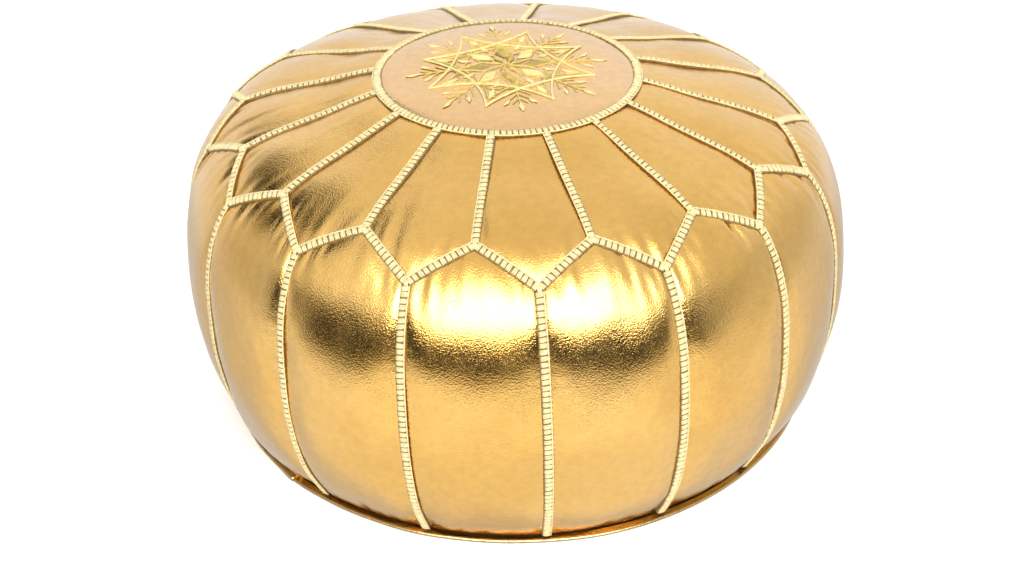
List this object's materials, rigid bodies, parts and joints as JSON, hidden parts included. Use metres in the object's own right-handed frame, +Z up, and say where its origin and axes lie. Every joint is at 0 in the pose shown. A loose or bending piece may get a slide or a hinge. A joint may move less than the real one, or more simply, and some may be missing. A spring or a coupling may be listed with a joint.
{
  "type": "moroccan leather pouf",
  "caption": "Round stuffed leather floor pouf with an embroidered top medallion, braided seams between the panels, a folded foot welt and a working zip in the base.",
  "frame": {"origin": "middle of the underside, on the floor", "axes": "+Z up; one vertical side seam faces -Y; the zip across the base runs along X and opens towards -X"},
  "size_m": [0.5648, 0.5648, 0.3006],
  "materials": {
    "gold_leather": "metallic gold foil, satin",
    "base_leather": "plain tan, matt",
    "cream_thread": "plaited silky thread",
    "gold_thread": "couched silky cord",
    "zip_tape": "woven",
    "zip_metal": "antique satin",
    "lining": "plain cotton",
    "stuffing": "loose cotton wadding"
  },
  "bodies": {
    "pouf": {"top_panel_01": "gold_leather", "top_panel_02": "gold_leather", "top_panel_03": "gold_leather", "top_panel_04": "gold_leather", "top_panel_05": "gold_leather", "top_panel_06": "gold_leather", "top_panel_07": "gold_leather", "top_panel_08": "gold_leather", "top_panel_09": "gold_leather", "top_panel_10": "gold_leather", "top_panel_11": "gold_leather", "top_panel_12": "gold_leather", "top_panel_13": "gold_leather", "top_panel_14": "gold_leather", "top_panel_15": "gold_leather", "top_panel_16": "gold_leather", "side_panel_01": "gold_leather", "side_panel_02": "gold_leather", "side_panel_03": "gold_leather", "side_panel_04": "gold_leather", "side_panel_05": "gold_leather", "side_panel_06": "gold_leather", "side_panel_07": "gold_leather", "side_panel_08": "gold_leather", "side_panel_09": "gold_leather", "side_panel_10": "gold_leather", "side_panel_11": "gold_leather", "side_panel_12": "gold_leather", "side_panel_13": "gold_leather", "side_panel_14": "gold_leather", "side_panel_15": "gold_leather", "side_panel_16": "gold_leather", "top_medallion": "gold_leather", "medallion_embroidery": "gold_thread", "medallion_braid": "cream_thread", "radial_braids": "cream_thread", "shoulder_braid": "cream_thread", "side_braids": "cream_thread", "base_welt": "gold_leather", "base_panel_front": "base_leather", "base_panel_back": "base_leather", "zip_tape_front": "zip_tape", "zip_tape_back": "zip_tape", "zip_teeth_front": "zip_metal", "zip_teeth_back": "zip_metal", "zip_top_stops": "zip_metal", "zip_bottom_stop": "zip_metal", "lining_upper": "lining", "lining_base": "lining", "stuffing": "stuffing"},
    "slider": {"zip_slider": "zip_metal"},
    "pull": {"zip_pull": "zip_metal"}
  },
  "joints": [
    {"name": "zip_slide", "type": "slide", "parent": "pouf", "child": "slider", "axis": [-1, 0, 0], "range_m": [0, 0.272]},
    {"name": "pull_swing", "type": "hinge", "parent": "slider", "child": "pull", "pos_m": [0.139, 0, 0.0038], "axis": [0, -1, 0], "range_deg": [0, 175]}
  ]
}
